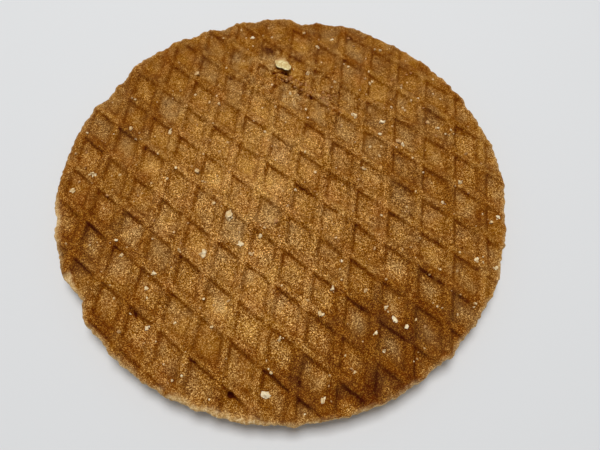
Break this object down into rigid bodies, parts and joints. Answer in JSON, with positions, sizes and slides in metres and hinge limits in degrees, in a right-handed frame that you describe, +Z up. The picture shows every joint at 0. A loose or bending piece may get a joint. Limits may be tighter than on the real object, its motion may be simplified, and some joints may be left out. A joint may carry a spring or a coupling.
{
  "type": "stroopwafel",
  "caption": "Round flat syrup waffle: thin wafers with a diamond pattern of low ridges, held together by a layer of caramel. It lies flat.",
  "frame": {"origin": "middle of the outline, on the surface that the lower wafer rests on", "axes": "+Z up through the thickness, +X to the right and +Y away from the viewer in the picture"},
  "size_m": [0.1004, 0.1002, 0.007],
  "materials": {
    "waffle_top": "baked, rough and grainy, with darker wall lines and pale crumbs",
    "caramel_syrup": "sticky, glossy, slightly see-through caramel",
    "waffle_underside": "baked, rough and grainy"
  },
  "bodies": {
    "root": {"top_wafer": "waffle_top", "syrup": "caramel_syrup", "bottom_wafer": "waffle_underside"}
  },
  "joints": []
}
